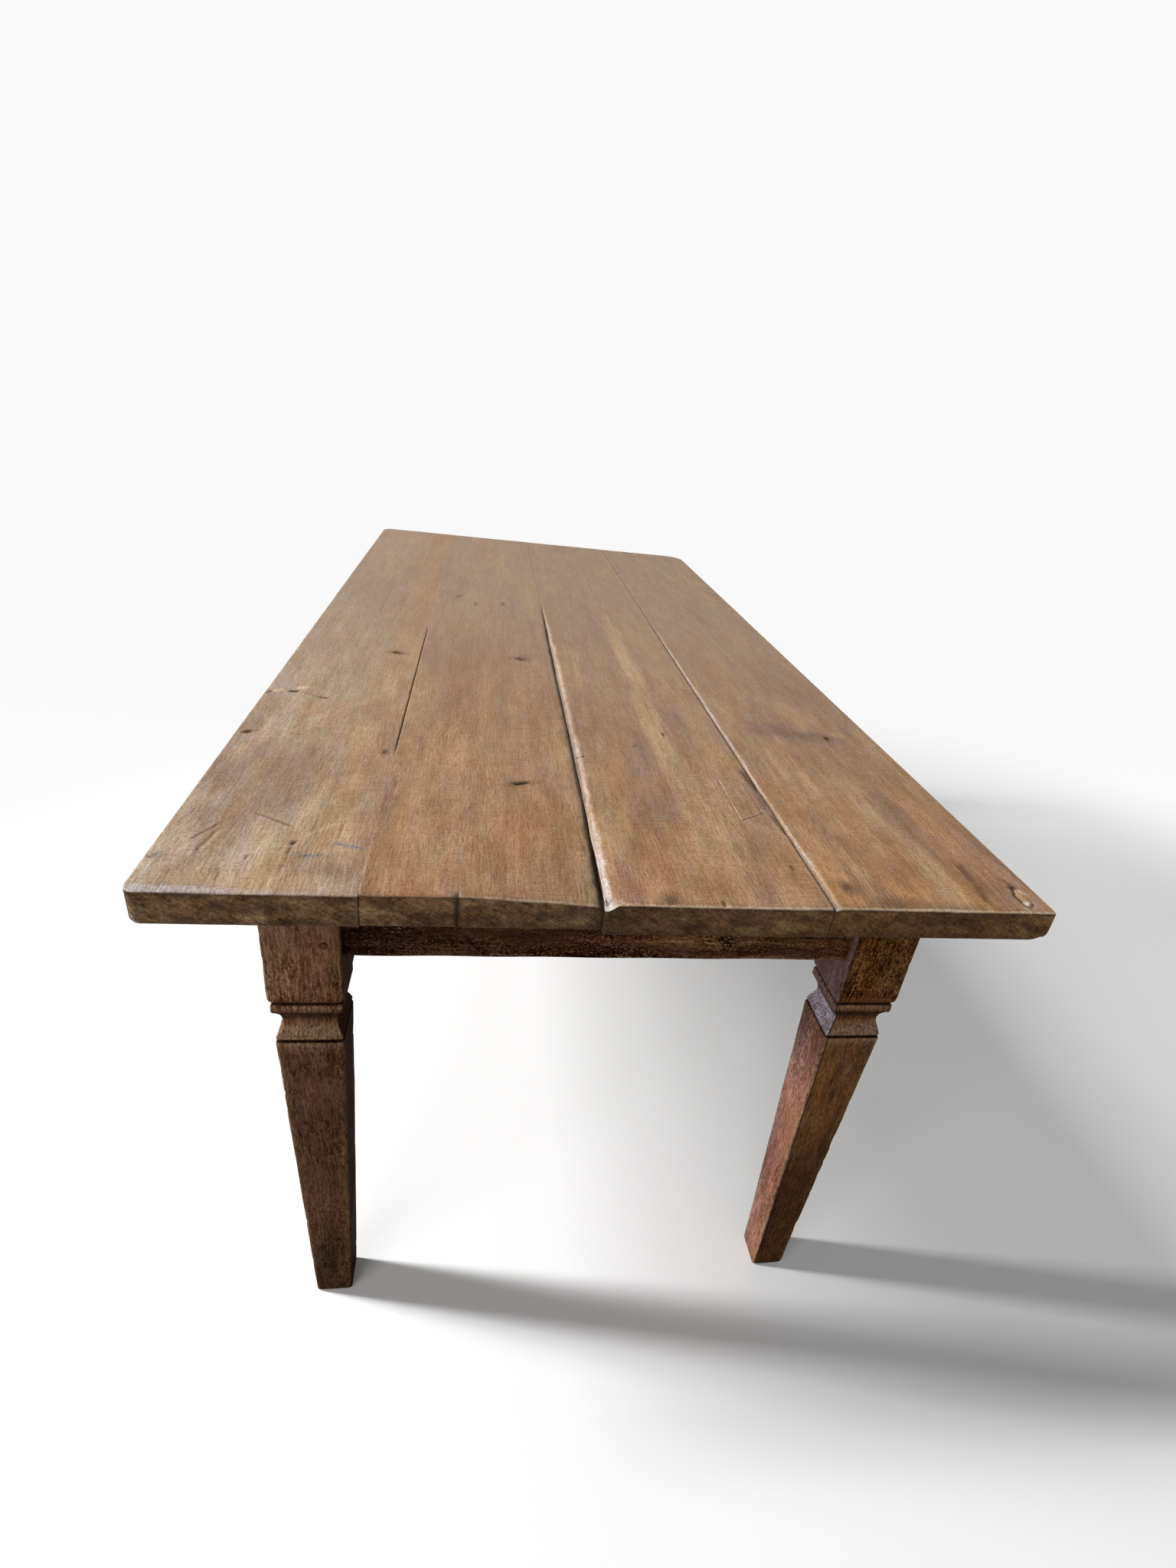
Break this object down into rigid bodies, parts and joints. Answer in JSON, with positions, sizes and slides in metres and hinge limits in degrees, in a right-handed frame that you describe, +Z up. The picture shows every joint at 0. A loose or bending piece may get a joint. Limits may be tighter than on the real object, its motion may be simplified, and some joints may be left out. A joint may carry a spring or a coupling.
{
  "type": "refectory table",
  "caption": "Long dining table with a worn plank top on square tapered legs with moulded necks, joined by aprons with pegged tenons.",
  "frame": {"origin": "on the floor under the middle of the top", "axes": "+Z up, +Y along the table away from the pictured near end, +X to the right seen from that end"},
  "size_m": [0.94, 2, 0.78],
  "materials": {
    "top_wood": "waxed old boards with worn arrises",
    "patch_wood": "waxed patch",
    "frame_wood": "dark waxed wood with rubbed arrises",
    "inner_wood": "bare dry wood",
    "peg_wood": "dark end grain",
    "screw_steel": "dull"
  },
  "bodies": {
    "root": {"top_board_1": "top_wood", "top_board_2": "top_wood", "top_board_3": "top_wood", "top_board_4": "top_wood", "board_tongue_1": "inner_wood", "board_tongue_2": "inner_wood", "board_tongue_3": "inner_wood", "cross_rail_near": "inner_wood", "cross_rail_far": "inner_wood", "top_button_left_1": "inner_wood", "top_button_left_2": "inner_wood", "top_button_left_3": "inner_wood", "top_button_right_1": "inner_wood", "top_button_right_2": "inner_wood", "top_button_right_3": "inner_wood", "top_button_near_1": "inner_wood", "top_button_near_2": "inner_wood", "top_button_far_1": "inner_wood", "top_button_far_2": "inner_wood", "board_patch": "patch_wood", "leg_near_left": "frame_wood", "leg_near_right": "frame_wood", "leg_far_left": "frame_wood", "leg_far_right": "frame_wood", "apron_near_end": "frame_wood", "apron_far_end": "frame_wood", "apron_left_side": "frame_wood", "apron_right_side": "frame_wood", "tenon_pegs": "peg_wood", "button_screws": "screw_steel", "rail_screws": "screw_steel"}
  },
  "joints": []
}
